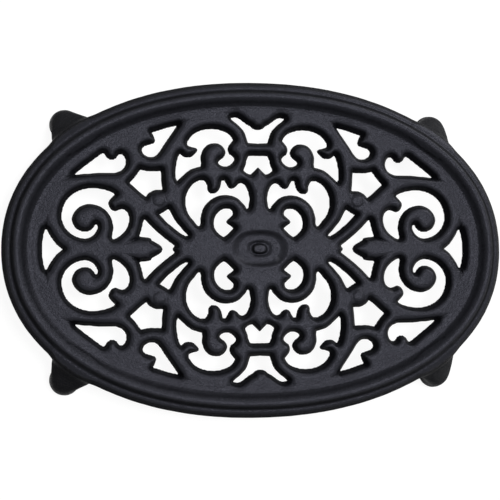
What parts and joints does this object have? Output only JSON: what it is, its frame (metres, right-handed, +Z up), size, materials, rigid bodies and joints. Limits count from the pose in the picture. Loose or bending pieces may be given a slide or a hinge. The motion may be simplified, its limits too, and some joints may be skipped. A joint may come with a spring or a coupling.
{
  "type": "cast-iron trivet",
  "caption": "Oval cast-iron trivet with a beaded rim, pierced scrollwork, a dished boss and splayed feet on rubber pads, for hot pots on a table.",
  "frame": {"origin": "on the table, under the middle of the oval, at the level of the pads' undersides", "axes": "+X along the oval's length, +Y across it, +Z up; the picture looks down on it from above, with +X to the right and +Y up the picture"},
  "size_m": [0.23, 0.153, 0.0315],
  "materials": {
    "cast_iron": "matt black, seasoned sand casting",
    "rubber": "matt black"
  },
  "bodies": {
    "root": {"trivet_casting": "cast_iron", "foot_pad_front_left": "rubber", "foot_pad_front_right": "rubber", "foot_pad_back_left": "rubber", "foot_pad_back_right": "rubber"}
  },
  "joints": []
}
